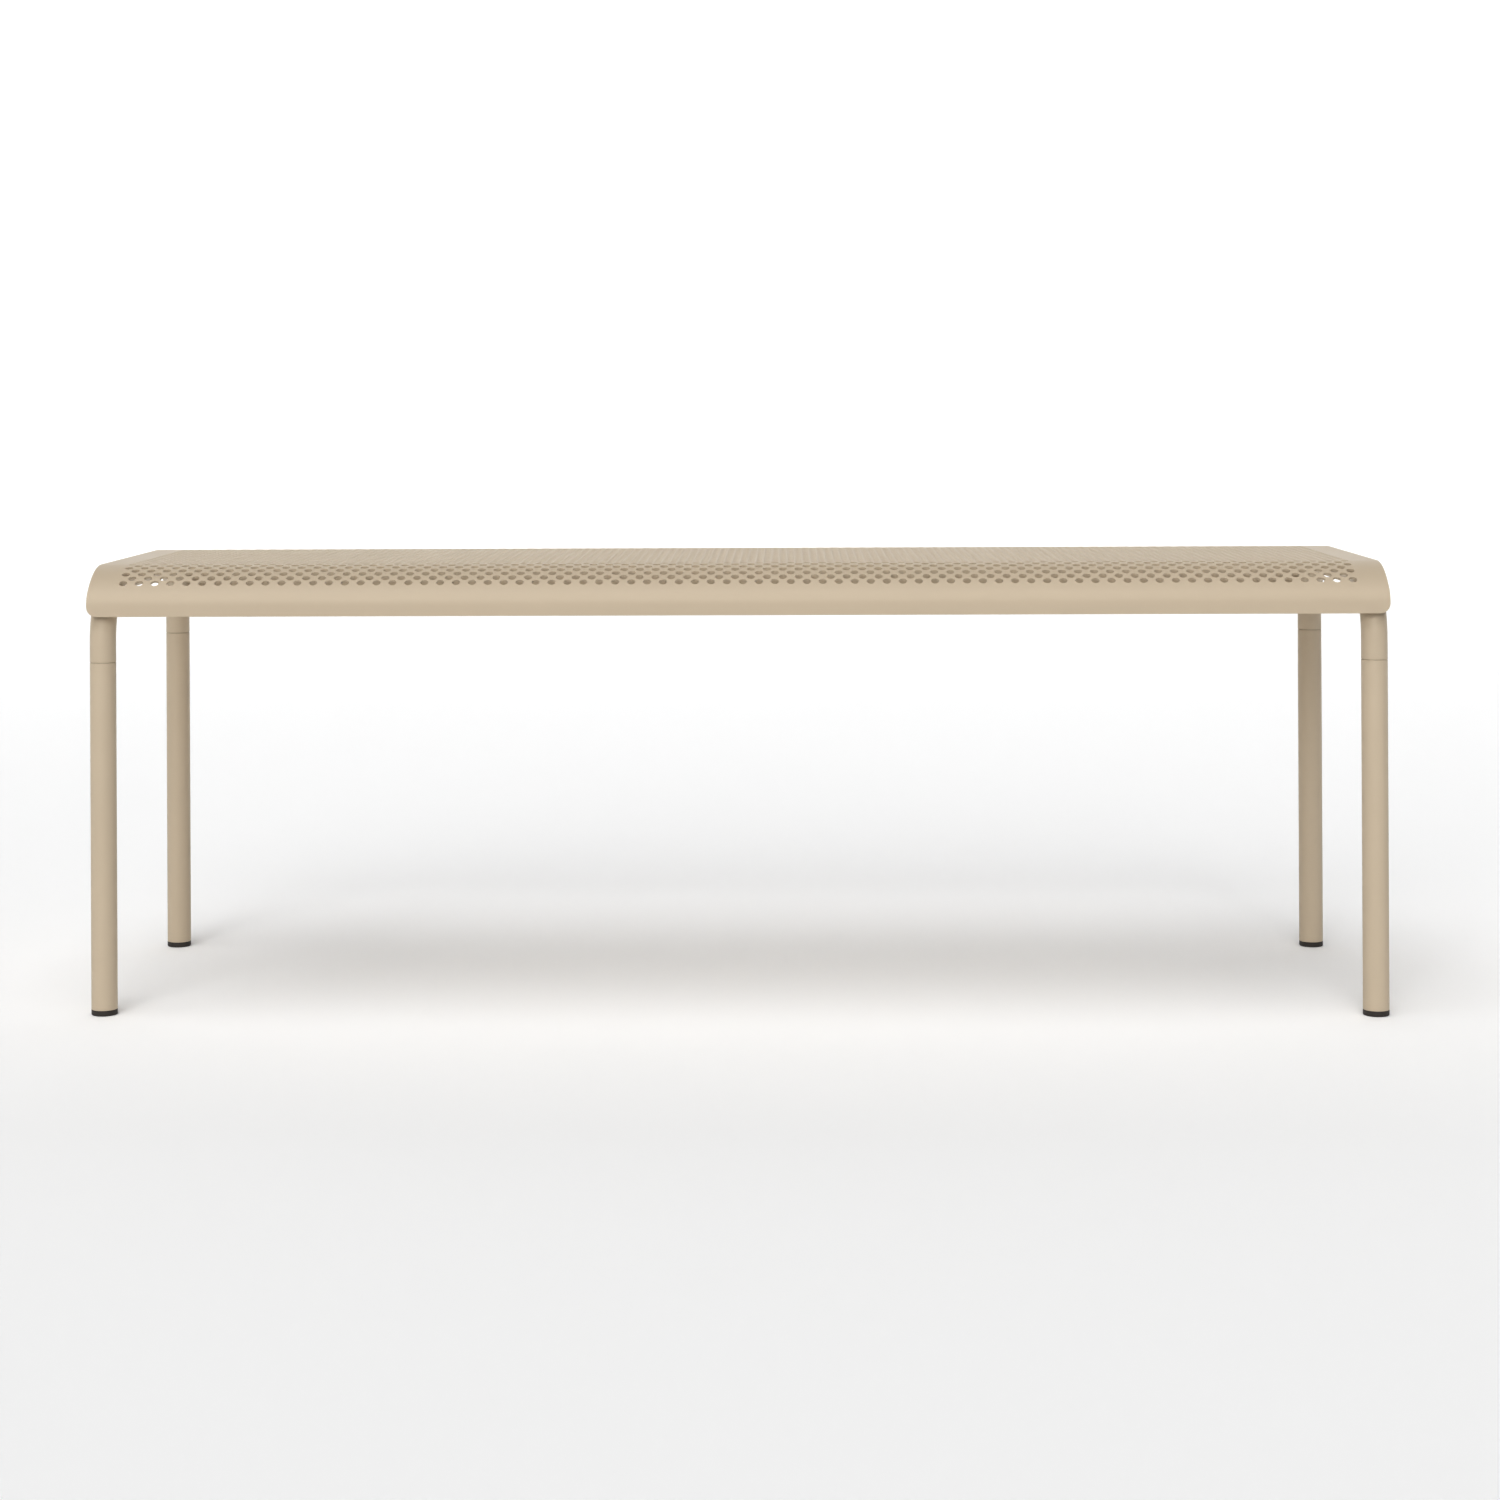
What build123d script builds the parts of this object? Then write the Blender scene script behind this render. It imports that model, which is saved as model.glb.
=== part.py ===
# Backless street bench: a folded sheet-steel seat on two bent tube hoops, with four legs that
# screw onto the hoop ends. Millimetres, +Z up, the long side along X. The origin is on the
# floor under the middle of the seat. The seat's punched holes are fine, repeated detail and
# aren't cut here.

import os
from math import radians, sin, sqrt

from build123d import *

# ---- overall sizes
length = 1300
depth = 400
height = 450

# ---- seat sheet
sheet = 2.5
apron = 49  # crest of the seat down to the lip's lower edge
crown_radius = 85  # the gentle roll from the flat seat towards the lip
crown_angle = 45
edge_radius = 18  # the tight bend from the roll into the vertical lip
lip_corner_radius = 10

# ---- hoops
tube_diameter = 26
hoop_wall = 2.0
hoop_bend_radius = 60  # on the tube's centre line
lip_gap = 1.5  # between the lip's inner face and the hoop
weld_size = 5.5
weld_run = 50
weld_end_gap = 13  # from the last weld to where the crossbar starts to bend

# ---- legs
leg_wall = 1.5
joint_drop = 95.5  # crest of the seat down to the underside of the hoop ends
washer_thickness = 0.5
washer_inset = 0.5  # how far the washer stays inside the tubes' outline
thread_diameter = 10
thread_clearance = 0.15
stud_reach = 16  # thread that enters the hoop
stud_tip_room = 2
stud_chamfer = 1.0
plug_length = 16

# ---- feet
glide_rim = 5.5
glide_edge_radius = 1.0
spigot_length = 18
spigot_wall = 2.0
spigot_clearance = 0.1

# ---- worked out from the sizes above
os.makedirs("parts", exist_ok=True)
lip_bottom = height - apron
sheet_underside = height - sheet
tube_radius = tube_diameter / 2
leg_x = length / 2 - tube_radius
leg_y = depth / 2 - sheet - lip_gap - tube_radius
crown_span = crown_radius * sin(radians(crown_angle))
edge_span = edge_radius * (1 - sin(radians(crown_angle)))
flat_half = depth / 2 - crown_span - edge_span
crossbar_z = sheet_underside - tube_radius
weld_spacing = leg_y - hoop_bend_radius - weld_end_gap - weld_run / 2
joint_height = height - joint_drop
leg_top = joint_height - washer_thickness
bush_diameter = tube_diameter - 2 * hoop_wall
bush_length = stud_reach + stud_tip_room
leg_bore = tube_diameter - 2 * leg_wall
stud_length = plug_length + washer_thickness + stud_reach


def save(piece, name):
    """Label one finished piece and write it as its own STEP file."""
    piece.label = name
    export_step(piece, f"parts/{name}.step")


# ---- the seat: one folded sheet, open at both ends
def channel_outline(inset):
    """Closed outline of the folded sheet's section, moved in from its outer face."""
    flat = Line((0, height - inset), (flat_half, height - inset))
    crown = JernArc(flat @ 1, flat % 1, crown_radius - inset, -crown_angle)
    edge = JernArc(crown @ 1, crown % 1, edge_radius - inset, crown_angle - 90)
    lip = Line(edge @ 1, ((edge @ 1).X, lip_bottom))
    Line(lip @ 1, (0, lip_bottom))
    mirror(about=Plane.YZ)


with BuildPart() as seat_panel:
    with BuildSketch(Plane.YZ.offset(-length / 2)):
        with BuildLine():
            channel_outline(0)
        make_face()
        with BuildLine():
            channel_outline(sheet)
        make_face(mode=Mode.SUBTRACT)
    extrude(amount=length)
    lip_corners = seat_panel.edges().filter_by(Axis.Y).group_by(Axis.Z)[0]
    fillet(lip_corners, lip_corner_radius)
save(seat_panel.part.solid(), "seat_panel")


# ---- the hoops, each with its welds to the seat
def hoop_path():
    """Centre line of a hoop: up from the front joint, across under the seat and down again."""
    FilletPolyline(
        (-leg_y, joint_height),
        (-leg_y, crossbar_z),
        (leg_y, crossbar_z),
        (leg_y, joint_height),
        radius=hoop_bend_radius,
    )


def weld_section(side):
    """Fillet weld in the wedge between the tube's top and the sheet, on one side of the tube."""
    toe = sqrt(tube_radius**2 - (tube_radius - weld_size) ** 2)
    Polyline(
        (side * weld_size / 2, sheet_underside),
        (side * tube_radius, sheet_underside),
        (side * toe, sheet_underside - weld_size),
        (side * weld_size / 2, sheet_underside - weld_size),
        close=True,
    )


for side_name, side in (("left", -1), ("right", 1)):
    hoop_plane = Plane.YZ.offset(side * leg_x)
    with BuildPart() as hoop:
        with BuildLine(hoop_plane) as hoop_line:
            hoop_path()
        with BuildSketch(Plane(origin=(side * leg_x, -leg_y, joint_height))):
            Circle(tube_radius)
            Circle(tube_radius - hoop_wall, mode=Mode.SUBTRACT)
        sweep(path=hoop_line.wires()[0])
    save(hoop.part.solid(), f"{side_name}_hoop")

    with BuildPart() as hoop_welds:
        for spot in (-weld_spacing, 0, weld_spacing):
            weld_plane = Plane(
                origin=(side * leg_x, spot + weld_run / 2, 0), x_dir=(1, 0, 0), z_dir=(0, -1, 0)
            )
            with BuildSketch(weld_plane):
                for weld_side in (-1, 1):
                    with BuildLine():
                        weld_section(weld_side)
                    make_face()
                with Locations((0, crossbar_z)):
                    Circle(tube_radius, mode=Mode.SUBTRACT)
            extrude(amount=weld_run)
    save(hoop_welds.part, f"{side_name}_hoop_welds")


# ---- the screw joint and the leg at one corner
def make_corner(name, x, y):
    """Threaded bush, washer, stud, plug, leg tube and glide, stacked on one vertical axis."""

    def level(z):
        return Plane(origin=(x, y, z))

    with BuildPart() as joint_bush:
        with BuildSketch(level(joint_height)):
            Circle(bush_diameter / 2)
            Circle(thread_diameter / 2 + thread_clearance, mode=Mode.SUBTRACT)
        extrude(amount=bush_length)
    save(joint_bush.part.solid(), f"{name}_joint_bush")

    with BuildPart() as joint_washer:
        with BuildSketch(level(leg_top)):
            Circle(tube_radius - washer_inset)
            Circle(thread_diameter / 2 + thread_clearance, mode=Mode.SUBTRACT)
        extrude(amount=washer_thickness)
    save(joint_washer.part.solid(), f"{name}_joint_washer")

    with BuildPart() as leg_stud:
        with BuildSketch(level(leg_top - plug_length)):
            Circle(thread_diameter / 2)
        extrude(amount=stud_length)
        chamfer(leg_stud.edges().filter_by(GeomType.CIRCLE), stud_chamfer)
    save(leg_stud.part.solid(), f"{name}_leg_stud")

    with BuildPart() as leg_plug:
        with BuildSketch(level(leg_top - plug_length)):
            Circle(leg_bore / 2)
            Circle(thread_diameter / 2, mode=Mode.SUBTRACT)
        extrude(amount=plug_length)
    save(leg_plug.part.solid(), f"{name}_leg_plug")

    with BuildPart() as leg_tube:
        with BuildSketch(level(glide_rim)):
            Circle(tube_radius)
            Circle(leg_bore / 2, mode=Mode.SUBTRACT)
        extrude(amount=leg_top - glide_rim)
    save(leg_tube.part.solid(), f"{name}_leg")

    with BuildPart() as glide:
        with BuildSketch(level(0)):
            Circle(tube_radius)
        extrude(amount=glide_rim)
        fillet(glide.edges().group_by(Axis.Z)[0], glide_edge_radius)
        with BuildSketch(level(glide_rim)):
            Circle(leg_bore / 2 - spigot_clearance)
            Circle(leg_bore / 2 - spigot_clearance - spigot_wall, mode=Mode.SUBTRACT)
        extrude(amount=spigot_length)
    save(glide.part.solid(), f"{name}_glide")


for front_name, y_side in (("front", -1), ("back", 1)):
    for side_name, x_side in (("left", -1), ("right", 1)):
        make_corner(f"{front_name}_{side_name}", x_side * leg_x, y_side * leg_y)
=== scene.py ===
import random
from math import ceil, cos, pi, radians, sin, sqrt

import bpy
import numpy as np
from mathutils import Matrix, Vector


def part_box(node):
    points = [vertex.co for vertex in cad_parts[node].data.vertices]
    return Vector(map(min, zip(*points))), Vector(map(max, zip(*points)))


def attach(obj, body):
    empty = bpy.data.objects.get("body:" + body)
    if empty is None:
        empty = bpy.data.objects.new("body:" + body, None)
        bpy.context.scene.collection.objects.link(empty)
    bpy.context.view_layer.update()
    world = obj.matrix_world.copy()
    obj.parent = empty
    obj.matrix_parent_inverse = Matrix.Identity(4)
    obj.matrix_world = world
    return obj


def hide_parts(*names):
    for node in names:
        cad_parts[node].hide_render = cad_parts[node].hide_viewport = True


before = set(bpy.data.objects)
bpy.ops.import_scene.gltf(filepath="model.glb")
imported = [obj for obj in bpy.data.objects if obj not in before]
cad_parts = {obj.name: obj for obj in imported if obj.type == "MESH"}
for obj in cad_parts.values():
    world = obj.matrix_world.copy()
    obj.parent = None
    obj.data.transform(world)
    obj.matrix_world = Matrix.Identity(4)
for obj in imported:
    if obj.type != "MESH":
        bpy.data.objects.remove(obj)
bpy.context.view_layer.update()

# %% [markdown]
# # A backless steel bench
# The bench is a folded, punched steel seat on two bent tube hoops, with four round legs that
# screw onto the ends of the hoops. Everything is powder coated in one warm beige.
#
# The CAD model fixes every size and every place. A first cell reads those sizes from the
# CAD nodes, so the pieces drawn here can't drift away from them.

MM = 0.001
SIDES = {"left": -1, "right": 1}
CORNERS = {f"{end}_{side}": (SIDES[side], row) for end, row in (("front", -1), ("back", 1)) for side in SIDES}


def to_half_mm(value):
    """A size from the CAD mesh to the nearest half millimetre, since its round faces are flats."""
    return round(value / MM * 2) / 2 * MM


seat_low, seat_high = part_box("seat_panel")
length = to_half_mm(seat_high.x - seat_low.x)
depth = to_half_mm(seat_high.y - seat_low.y)
height = to_half_mm(seat_high.z)
lip_bottom = to_half_mm(seat_low.z)

hoop_low, hoop_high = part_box("left_hoop")
tube_radius = to_half_mm((hoop_high.x - hoop_low.x) / 2)
hoop_x = length / 2 - tube_radius
hoop_y = to_half_mm((hoop_high.y - hoop_low.y) / 2) - tube_radius
joint_height = to_half_mm(hoop_low.z)
sheet = to_half_mm(height - hoop_high.z)
crossbar_z = height - sheet - tube_radius
hoop_wall = 2.0 * MM
hoop_bend = 60 * MM
print(f"bench {length:.3f} x {depth:.3f} x {height:.3f} m")
print(f"tubes {2 * tube_radius / MM:.0f} mm, sheet {sheet / MM:.1f} mm")

# %% [markdown]
# ## The folded section
# The seat is a press-brake folding: flat in the middle, a wide gentle roll towards the
# front and the back, then a tight bend into a vertical lip. The section could be drawn as
# a curve and extruded, but the holes have to follow the folds, so it is kept as a formula:
# a flat blank is punched first, exactly as in the factory, and every point is then folded.

# %% The section's arcs
roll_radius = 85 * MM
edge_radius = 18 * MM
roll_angle = radians(45)
edge_angle = pi / 2 - roll_angle
roll_run = roll_radius * roll_angle
edge_run = edge_radius * edge_angle
flat_half = depth / 2 - roll_radius * sin(roll_angle) - edge_radius * (1 - sin(roll_angle))
lip_top = height - roll_radius * (1 - cos(roll_angle)) - edge_radius * cos(roll_angle)
lip_run = lip_top - lip_bottom
blank_half = flat_half + roll_run + edge_run + lip_run
print(f"blank {2 * blank_half / MM:.1f} mm wide, flat for {2 * flat_half / MM:.1f}, lip {lip_run / MM:.2f}")

# %% [markdown]
# ## A small language for Geometry Nodes
# A node tree built in a script gets hard to read when every plus sign is five lines. A
# `Field` stands for one socket. Adding, multiplying or comparing fields adds the node that
# does it, so a formula in the tree reads like a formula on paper.

# %% Nodes and fields
def add_node(tree, kind, settings=None, **inputs):
    """Add a node, set its properties and fill or link its inputs, named in0, in1 and so on."""
    node = tree.nodes.new(kind)
    for name, value in (settings or {}).items():
        setattr(node, name, value)
    for name, value in inputs.items():
        connect(tree, value, node.inputs[int(name[2:])])
    return node


def connect(tree, value, socket):
    """Link a socket or a field, or set a plain value."""
    if isinstance(value, Field):
        value = value.socket
    if isinstance(value, bpy.types.NodeSocket):
        tree.links.new(value, socket)
    elif value is not None:
        socket.default_value = value


class Field:
    """One output socket of a tree, with arithmetic that adds Math nodes."""

    def __init__(self, socket):
        self.socket = socket
        self.tree = socket.id_data

    def math(self, operation, *others):
        values = {f"in{i}": value for i, value in enumerate((self, *others))}
        return Field(add_node(self.tree, "ShaderNodeMath", {"operation": operation}, **values).outputs[0])

    def __add__(self, other):
        return self.math("ADD", other)

    def __sub__(self, other):
        return self.math("SUBTRACT", other)

    def __mul__(self, other):
        return self.math("MULTIPLY", other)

    def __truediv__(self, other):
        return self.math("DIVIDE", other)

    def __gt__(self, other):
        return self.math("GREATER_THAN", other)

    def __lt__(self, other):
        return self.math("LESS_THAN", other)

    def within(self, low, high):
        return self.math("MAXIMUM", low).math("MINIMUM", high)

    def size(self):
        return self.math("ABSOLUTE")

    def sign(self):
        return self.math("SIGN")

    def sin(self):
        return self.math("SINE")

    def cos(self):
        return self.math("COSINE")


def split(vector):
    """The three coordinates of a vector socket, as fields."""
    node = add_node(vector.id_data, "ShaderNodeSeparateXYZ", in0=vector)
    return [Field(out) for out in node.outputs]


def join(tree, x, y, z):
    """A vector socket from three fields or numbers."""
    return add_node(tree, "ShaderNodeCombineXYZ", in0=x, in1=y, in2=z).outputs[0]


# %% Trees with named inputs
def new_tree(name, inputs, kind="GeometryNodeTree", outputs=(("Geometry", "NodeSocketGeometry"),)):
    """An empty node group with these inputs and outputs. Returns the tree and its two end nodes."""
    tree = bpy.data.node_groups.new(name, kind)
    for label, socket_type, default in inputs:
        made = tree.interface.new_socket(label, in_out="INPUT", socket_type=socket_type)
        if default is not None:
            made.default_value = default
    for label, socket_type in outputs:
        tree.interface.new_socket(label, in_out="OUTPUT", socket_type=socket_type)
    return tree, tree.nodes.new("NodeGroupInput"), tree.nodes.new("NodeGroupOutput")


def arrange(tree):
    """Lay the nodes out by how far each is from the start, so that the tree can be read."""
    column = {node.name: 0 for node in tree.nodes}
    for _ in range(len(tree.nodes)):
        moved = False
        for link in tree.links:
            wanted = column[link.from_node.name] + 1
            if column[link.to_node.name] < wanted:
                column[link.to_node.name] = wanted
                moved = True
        if not moved:
            break
    used = {}
    for node in tree.nodes:
        place = column[node.name]
        used[place] = used.get(place, 0) + 1
        node.location = (place * 220, -used[place] * 180)


def store(tree, geometry, name, value, kind="FLOAT"):
    """Keep a field's value on every point under a name."""
    settings = {"data_type": kind, "domain": "POINT"}
    node = add_node(tree, "GeometryNodeStoreNamedAttribute", settings, in0=geometry, in2=name)
    connect(tree, value, node.inputs[3])
    return node.outputs[0]


def stored(tree, name, kind="FLOAT"):
    """Read a value kept by store."""
    return add_node(tree, "GeometryNodeInputNamedAttribute", {"data_type": kind}, in0=name).outputs[0]


# %% [markdown]
# ## The rim of a cut sheet
# A punched or sheared edge is never a knife edge: the punch drags the upper rim over a
# little and the coat rounds both rims. Here a rim is pushed out and down by a small step,
# carried down through the sheet, then drawn back in. One group does this for the holes
# and for the outline of the blank. A hole is left square underneath, where the punch broke
# through. A bevel modifier could do it too, but it would look for edges by angle over the
# whole seat and take far longer.

# %% The rim group
rim_tree, rim_in, rim_out = new_tree(
    "Sheet rim",
    [
        ("Geometry", "NodeSocketGeometry", None),
        ("Edges", "NodeSocketBool", True),
        ("Outward", "NodeSocketVector", None),
        ("Thickness", "NodeSocketFloat", sheet),
        ("Step", "NodeSocketFloat", 0.3 * MM),
        ("Lower Step", "NodeSocketFloat", 0.3 * MM),
    ],
)


def rim_stage(geometry, edges, sideways, down):
    """Extrude edges and move the new ring sideways along Outward and down."""
    node = add_node(rim_tree, "GeometryNodeExtrudeMesh", {"mode": "EDGES"}, in0=geometry, in1=edges, in3=0.0)
    outward = split(rim_in.outputs["Outward"])
    offset = join(rim_tree, outward[0] * sideways, outward[1] * sideways, down * -1.0)
    moved = add_node(
        rim_tree, "GeometryNodeSetPosition", in0=node.outputs[0], in1=node.outputs[1], in3=offset
    )
    return moved.outputs[0], node.outputs[1]


step = Field(rim_in.outputs["Step"])
lower_step = Field(rim_in.outputs["Lower Step"])
straight = Field(rim_in.outputs["Thickness"]) - step - lower_step
ring = rim_stage(rim_in.outputs["Geometry"], rim_in.outputs["Edges"], step, step)
ring = rim_stage(*ring, step * 0.0, straight)
ring = rim_stage(*ring, lower_step * -1.0, lower_step)
connect(rim_tree, ring[0], rim_out.inputs[0])
arrange(rim_tree)
print(f"rim group has {len(rim_tree.nodes)} nodes")

# %% [markdown]
# ## One punched hole
# The holes sit on a diagonal lattice, so the sheet around each hole is a diamond and the
# diamonds tile the field with nothing left over. One diamond with one hole is the cell
# that is repeated. It has a top face, the wall of the hole and a bottom face.

# %% The punched cell group
hole_pitch = 16 * MM
half_pitch = hole_pitch / 2
hole_radius = 4 * MM
hole_sides = 12
rim_step = 0.3 * MM

cell_tree, cell_in, cell_out = new_tree(
    "Punched cell",
    [
        ("Hole Radius", "NodeSocketFloat", hole_radius),
        ("Hole Sides", "NodeSocketInt", hole_sides),
        ("Half Pitch", "NodeSocketFloat", half_pitch),
        ("Thickness", "NodeSocketFloat", sheet),
        ("Step", "NodeSocketFloat", rim_step),
    ],
)
open_radius = Field(cell_in.outputs["Hole Radius"]) + Field(cell_in.outputs["Step"])
hole_line = add_node(
    cell_tree, "GeometryNodeCurvePrimitiveCircle", in0=cell_in.outputs["Hole Sides"], in4=open_radius
)
diamond_line = add_node(
    cell_tree, "GeometryNodeCurvePrimitiveCircle", in0=4, in4=cell_in.outputs["Half Pitch"]
)
lower_line = add_node(
    cell_tree,
    "GeometryNodeCurvePrimitiveCircle",
    in0=cell_in.outputs["Hole Sides"],
    in4=cell_in.outputs["Hole Radius"],
)


def diamond_face(hole):
    """The flat diamond with a hole in it."""
    outlines = cell_tree.nodes.new("GeometryNodeJoinGeometry")
    cell_tree.links.new(hole.outputs[0], outlines.inputs[0])
    cell_tree.links.new(diamond_line.outputs[0], outlines.inputs[0])
    filled = add_node(cell_tree, "GeometryNodeFillCurve", {"mode": "TRIANGLES"}, in0=outlines.outputs[0])
    return filled.outputs[0]


face = diamond_face(hole_line)

place = cell_tree.nodes.new("GeometryNodeInputPosition").outputs[0]
across, along, _ = split(place)
reach = (across * across + along * along).math("SQRT")
neighbours = cell_tree.nodes.new("GeometryNodeInputMeshEdgeNeighbors")
is_rim = (Field(neighbours.outputs[0]) < 1.5) * (reach < hole_radius * 1.25)
inward = join(cell_tree, across / reach * -1.0, along / reach * -1.0, 0.0)
face = store(cell_tree, face, "inward", inward, "FLOAT_VECTOR")
walled = add_node(cell_tree, "GeometryNodeGroup", {"node_tree": rim_tree}, in0=face, in1=is_rim)
connect(cell_tree, stored(cell_tree, "inward", "FLOAT_VECTOR"), walled.inputs[2])
connect(cell_tree, cell_in.outputs["Thickness"], walled.inputs[3])
connect(cell_tree, cell_in.outputs["Step"], walled.inputs[4])
walled.inputs["Lower Step"].default_value = 0.0
below = join(cell_tree, 0.0, 0.0, Field(cell_in.outputs["Thickness"]) * -1.0)
lowered = add_node(cell_tree, "GeometryNodeTransform", in0=diamond_face(lower_line), in1=below).outputs[0]
underside = add_node(cell_tree, "GeometryNodeFlipFaces", in0=lowered).outputs[0]
cell_parts = cell_tree.nodes.new("GeometryNodeJoinGeometry")
cell_tree.links.new(walled.outputs[0], cell_parts.inputs[0])
cell_tree.links.new(underside, cell_parts.inputs[0])
merged_cell = add_node(cell_tree, "GeometryNodeMergeByDistance", in0=cell_parts.outputs[0], in2=0.01 * MM)
connect(cell_tree, merged_cell.outputs[0], cell_out.inputs[0])
arrange(cell_tree)
print(f"cell group has {len(cell_tree.nodes)} nodes")

# %% [markdown]
# ## The blank and the folding
# The blank starts as a grid whose points are the lattice itself. Points that are hole
# centres are taken out with their triangles, which leaves exactly the diamond openings
# that the cells fill. What is left is the unpunched margin, and its outer lines are moved
# to where the sheet ends. The blank is then closed with the rim group and folded.
#
# A seat as one piece would hold more triangles than one piece should, so the same tree
# makes it in two halves of twenty-four rows, parted in the flat middle along the edges of
# the diamonds, where the parting can't be seen. The first and last rows are inputs of the
# tree, so any other split is a matter of two numbers.

# %% The lattice
hole_rows = 48
holes_in_row = 78
field_half_x = holes_in_row * half_pitch
field_half_s = hole_rows * half_pitch / 2 + half_pitch / 2
corner_radius = 10 * MM
edge_lines = 5
corner_lines = 6
margin_columns = 2
margin_lines = 2 + edge_lines + corner_lines
grid_half_x = field_half_x + margin_columns * half_pitch
grid_half_s = field_half_s + margin_lines * half_pitch
roll_end = flat_half + roll_run
edge_end = roll_end + edge_run
corner_start = blank_half - corner_radius
print(f"{hole_rows} rows, field {2 * field_half_x / MM:.0f} x {2 * field_half_s / MM:.0f} mm")

seat_tree, seat_in, seat_out = new_tree(
    "Punched and folded seat",
    [
        ("First Row", "NodeSocketInt", 0),
        ("Last Row", "NodeSocketInt", hole_rows - 1),
        ("Hole Radius", "NodeSocketFloat", hole_radius),
        ("Thickness", "NodeSocketFloat", sheet),
        ("Finish", "NodeSocketMaterial", None),
    ],
)
grid = add_node(
    seat_tree,
    "GeometryNodeMeshGrid",
    in0=2 * grid_half_x,
    in1=2 * grid_half_s,
    in2=round(2 * grid_half_x / half_pitch) + 1,
    in3=round(2 * grid_half_s / half_pitch) + 1,
).outputs[0]
seat_place = seat_tree.nodes.new("GeometryNodeInputPosition").outputs[0]
grid_x, grid_s, _ = split(seat_place)


def odd(value):
    """1 where the whole number nearest to value is odd, else 0."""
    return value.math("ROUND").math("FLOORED_MODULO", 2.0)


# %% Which points are holes
column_number = grid_x / half_pitch
row_number = grid_s / half_pitch + (hole_rows - 1) / 2
is_centre = odd(column_number + row_number)
in_field = (grid_x.size() < field_half_x - half_pitch / 2) * (grid_s.size() < field_half_s - half_pitch / 2)
is_hole = is_centre * in_field

face_column = column_number.math("FLOOR")
face_row = row_number.math("FLOOR")
slanted = odd(face_column + face_row)
split_a = add_node(
    seat_tree, "GeometryNodeTriangulate", {"quad_method": "FIXED_ALTERNATE"}, in0=grid, in1=slanted > 0.5
).outputs[0]
split_b = add_node(
    seat_tree, "GeometryNodeTriangulate", {"quad_method": "FIXED"}, in0=split_a, in1=True
).outputs[0]

# %% The half that this run makes
first_row = Field(seat_in.outputs["First Row"])
last_row = Field(seat_in.outputs["Last Row"])
low_cut = (first_row - hole_rows / 2) * half_pitch
high_cut = (last_row + 1.0 - hole_rows / 2) * half_pitch
in_half = (grid_s > low_cut) * (grid_s < high_cut)
hole_points = is_hole * in_half

cell = add_node(seat_tree, "GeometryNodeGroup", {"node_tree": cell_tree}, in0=seat_in.outputs["Hole Radius"])
connect(seat_tree, seat_in.outputs["Thickness"], cell.inputs[3])
cells = add_node(
    seat_tree, "GeometryNodeInstanceOnPoints", in0=split_b, in1=hole_points, in2=cell.outputs[0]
).outputs[0]
holes = add_node(seat_tree, "GeometryNodeRealizeInstances", in0=cells).outputs[0]

# %% The margin, moved to the sheet's real outline
line_number = (grid_s.size() - field_half_s) / half_pitch
flat_part = line_number.within(0.0, 1.0) * (roll_end - field_half_s)
edge_part = (line_number - 1.0).within(0.0, edge_lines) * (edge_run / edge_lines)
lip_part = (line_number - (1.0 + edge_lines)).within(0.0, 1.0) * (corner_start - edge_end)
turn = (line_number - (2.0 + edge_lines)).within(0.0, corner_lines) * (pi / 2 / corner_lines)
margin_s = flat_part + edge_part + lip_part + turn.sin() * corner_radius + field_half_s
column_end = turn.cos() * corner_radius + (length / 2 - corner_radius)

past_column = (grid_x.size() - field_half_x) / half_pitch
on_end = past_column > margin_columns - 0.5
on_side = line_number > margin_lines - 0.5
is_outline = on_end.math("MAXIMUM", on_side)
out_x = grid_x.sign() * turn.cos() * is_outline
out_s = grid_s.sign() * turn.sin() * is_outline
inner_x = grid_x.size().math("MINIMUM", grid_half_x - half_pitch)
moved_x = (column_end - inner_x) * on_end + inner_x
past_field = line_number > 0.0
moved_s = (margin_s - grid_s.size()) * past_field + grid_s.size()
new_x = grid_x.sign() * moved_x - out_x * rim_step
new_s = grid_s.sign() * moved_s - out_s * rim_step

marked = store(seat_tree, split_b, "outward", join(seat_tree, out_x, out_s, 0.0), "FLOAT_VECTOR")
punched = add_node(
    seat_tree, "GeometryNodeDeleteGeometry", {"domain": "POINT"}, in0=marked, in1=is_hole > 0.5
).outputs[0]
shift = half_pitch / 2
outside_half = (grid_s < low_cut + shift).math("MAXIMUM", grid_s > high_cut + shift)
margin = add_node(
    seat_tree, "GeometryNodeDeleteGeometry", {"domain": "FACE"}, in0=punched, in1=outside_half > 0.5
).outputs[0]
margin = add_node(
    seat_tree, "GeometryNodeSetPosition", in0=margin, in2=join(seat_tree, new_x, new_s, 0.0)
).outputs[0]
lower = join(seat_tree, 0.0, 0.0, Field(seat_in.outputs["Thickness"]) * -1.0)
margin_below = add_node(seat_tree, "GeometryNodeTransform", in0=margin, in1=lower).outputs[0]
margin_below = add_node(seat_tree, "GeometryNodeFlipFaces", in0=margin_below).outputs[0]

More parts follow.
